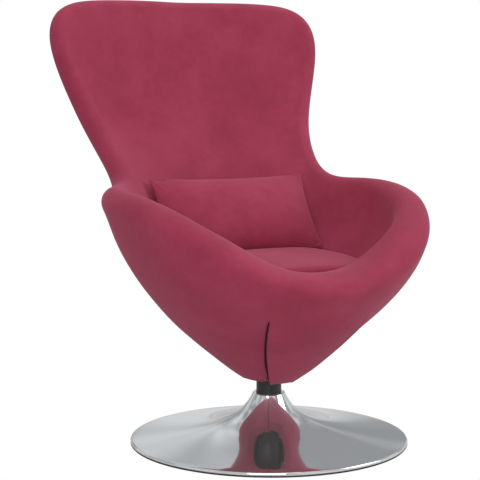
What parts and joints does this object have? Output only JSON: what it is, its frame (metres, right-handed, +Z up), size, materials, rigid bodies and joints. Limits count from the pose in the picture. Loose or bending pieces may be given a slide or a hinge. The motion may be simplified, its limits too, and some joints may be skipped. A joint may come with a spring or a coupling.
{
  "type": "pod chair",
  "caption": "Upholstered pod-shaped lounge chair with low arms and a high back, a loose seat pad and a lumbar pillow, turning on a round trumpet base.",
  "frame": {"origin": "floor point on the axis of the column, level with the underside of the base", "axes": "+Z up, the chair faces -Y, its left arm at +X"},
  "size_m": [0.6884, 0.7792, 0.9646],
  "materials": {
    "chrome": "polished",
    "black_plastic": "matte",
    "plain_steel": "plain",
    "black_steel": "satin",
    "zinc_steel": "zinc plated",
    "bush_plastic": "matte",
    "webbing": "woven elastic",
    "velvet": "wine-red velvet"
  },
  "bodies": {
    "base": {"base_cover": "chrome", "floor_ring": "black_plastic", "ballast_plate": "plain_steel", "column": "black_steel", "flange_screws": "zinc_steel", "column_bushes": "bush_plastic"},
    "seat": {"spindle": "plain_steel", "spindle_keeper": "zinc_steel", "swivel_plate": "black_steel", "plate_screws": "zinc_steel", "seat_rails": "black_steel", "cross_rails": "black_steel", "seat_webbing": "webbing", "lower_hoop": "black_steel", "upper_hoop": "black_steel", "back_stays": "black_steel", "side_stays": "black_steel", "back_webbing": "webbing", "inner_pad": "velvet", "outer_cover": "velvet", "bottom_hem": "velvet", "seat_pad": "velvet"},
    "pillow": {"lumbar_pillow": "velvet"}
  },
  "joints": [
    {"name": "seat_swivel", "type": "hinge", "parent": "base", "child": "seat", "pos_m": [0, 0, 0], "axis": [0, 0, 1], "continuous": true},
    {"name": "pillow_lift", "type": "slide", "parent": "seat", "child": "pillow", "axis": [0, 0, 1], "range_m": [0, 0.3]}
  ]
}
